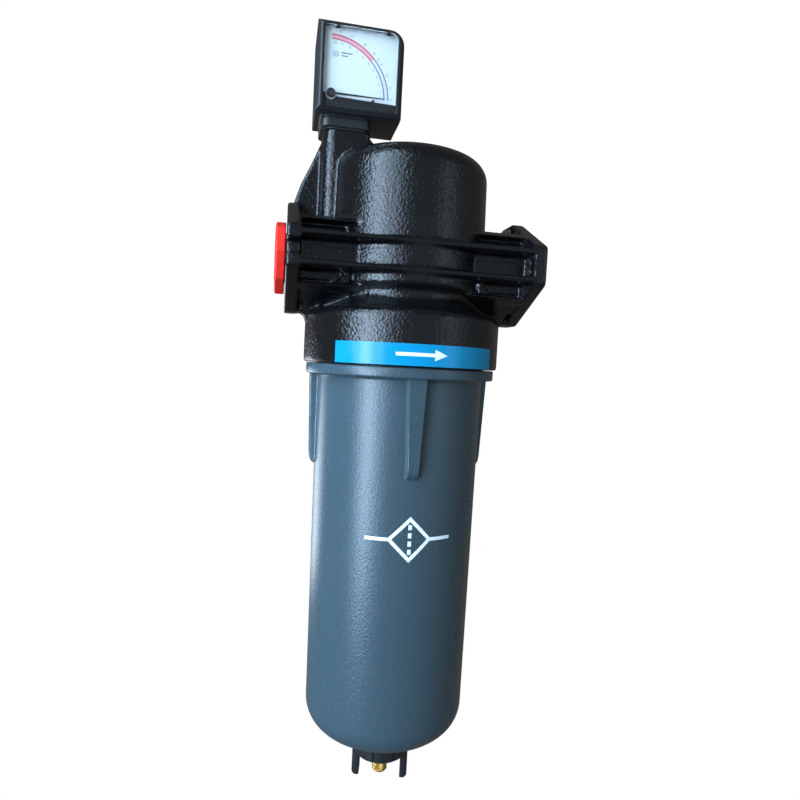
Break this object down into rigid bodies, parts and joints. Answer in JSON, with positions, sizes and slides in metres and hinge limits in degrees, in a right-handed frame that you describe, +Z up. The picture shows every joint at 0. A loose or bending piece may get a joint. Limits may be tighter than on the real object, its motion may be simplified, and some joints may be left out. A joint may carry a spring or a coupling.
{
  "type": "compressed air filter",
  "caption": "In-line compressed air filter: cast head with flanged ports and gauge, screw-on bowl with filter element, float drain and thread plug.",
  "frame": {"origin": "where the port axis crosses the bowl axis, inside the head", "axes": "+Z up along the bowl axis, +X along the port axis towards the outlet, -Y the side the gauge faces"},
  "size_m": [0.146, 0.1153, 0.4398],
  "materials": {
    "head_paint": "gloss black powder coat, fine orange-peel texture",
    "bowl_paint": "blue-grey powder coat, semi-gloss",
    "plug_red": "moulded red polyethylene",
    "label_blue": "printed film, gloss",
    "label_blue_dark": "printed film, gloss",
    "gauge_plastic": "fine satin moulded black",
    "clear_pane": "clear polycarbonate",
    "dial_face": "printed pale dial",
    "needle_black": "satin",
    "spindle_steel": "turned",
    "spring_steel": "drawn wire",
    "screw_steel": "zinc plated",
    "core_steel": "perforated stainless sheet",
    "mesh_steel": "woven stainless mesh",
    "filter_media": "pleated glass fibre",
    "foam": "drainage felt sleeve",
    "cap_plastic": "moulded nylon",
    "float_plastic": "moulded polypropylene",
    "drain_plastic": "moulded black nylon",
    "drain_brass": "turned and knurled",
    "seal_rubber": "nitrile"
  },
  "bodies": {
    "housing": {"filter_head": "head_paint", "label_band": "label_blue", "label_tab": "label_blue_dark", "gauge_case": "gauge_plastic", "gauge_bezel": "gauge_plastic", "gauge_window": "clear_pane", "gauge_dial": "dial_face", "gauge_mask": "gauge_plastic", "gauge_spring": "spring_steel", "gauge_gasket": "seal_rubber", "gauge_screw_front": "screw_steel", "gauge_screw_rear": "screw_steel"},
    "plug": {"inlet_plug": "plug_red"},
    "bowl_carrier": {"bowl_o_ring": "seal_rubber"},
    "bowl_assembly": {"bowl": "bowl_paint", "drain_body": "drain_plastic", "drain_seal": "seal_rubber"},
    "element": {"element_top_cap": "cap_plastic", "element_o_ring": "seal_rubber", "element_inner_core": "core_steel", "element_media": "filter_media", "element_outer_mesh": "mesh_steel", "element_foam_sock": "foam", "element_bottom_cap": "cap_plastic"},
    "needle": {"gauge_needle": "needle_black", "gauge_spindle": "spindle_steel"},
    "piston": {"gauge_piston": "spindle_steel"},
    "float": {"drain_float": "float_plastic"},
    "collar": {"drain_collar": "drain_plastic"},
    "knob": {"drain_screw": "drain_brass"}
  },
  "joints": [
    {"name": "plug_pull", "type": "slide", "parent": "housing", "child": "plug", "axis": [-1, 0, 0], "range_m": [0, 0.02]},
    {"name": "bowl_drop", "type": "slide", "parent": "housing", "child": "bowl_carrier", "axis": [0, 0, -1], "range_m": [0, 0.016]},
    {"name": "bowl_turn", "type": "hinge", "parent": "bowl_carrier", "child": "bowl_assembly", "pos_m": [0, 0, -0.06], "axis": [0, 0, 1], "range_deg": [0, 1440]},
    {"name": "element_pull", "type": "slide", "parent": "housing", "child": "element", "axis": [0, 0, -1], "range_m": [0, 0.012]},
    {"name": "needle_swing", "type": "hinge", "parent": "housing", "child": "needle", "pos_m": [-0.0493, 0, 0.0882], "axis": [0, -1, 0], "range_deg": [0, 90]},
    {"name": "piston_rise", "type": "slide", "parent": "housing", "child": "piston", "axis": [0, 0, 1], "range_m": [0, 0.008], "deforming": ["gauge_spring"]},
    {"name": "float_rise", "type": "slide", "parent": "bowl_assembly", "child": "float", "axis": [0, 0, 1], "range_m": [0, 0.004]},
    {"name": "collar_turn", "type": "hinge", "parent": "bowl_assembly", "child": "collar", "pos_m": [0, 0, -0.292], "axis": [0, 0, 1], "range_deg": [0, 90]},
    {"name": "knob_turn", "type": "hinge", "parent": "bowl_assembly", "child": "knob", "pos_m": [0, 0, -0.3], "axis": [0, 0, 1], "range_deg": [0, 180]}
  ],
  "couplings": [
    {"joint": "bowl_drop", "follows": "bowl_turn", "m_per_rad": 0.00063662},
    {"joint": "needle_swing", "follows": "piston_rise", "rad_per_m": 196.35}
  ]
}
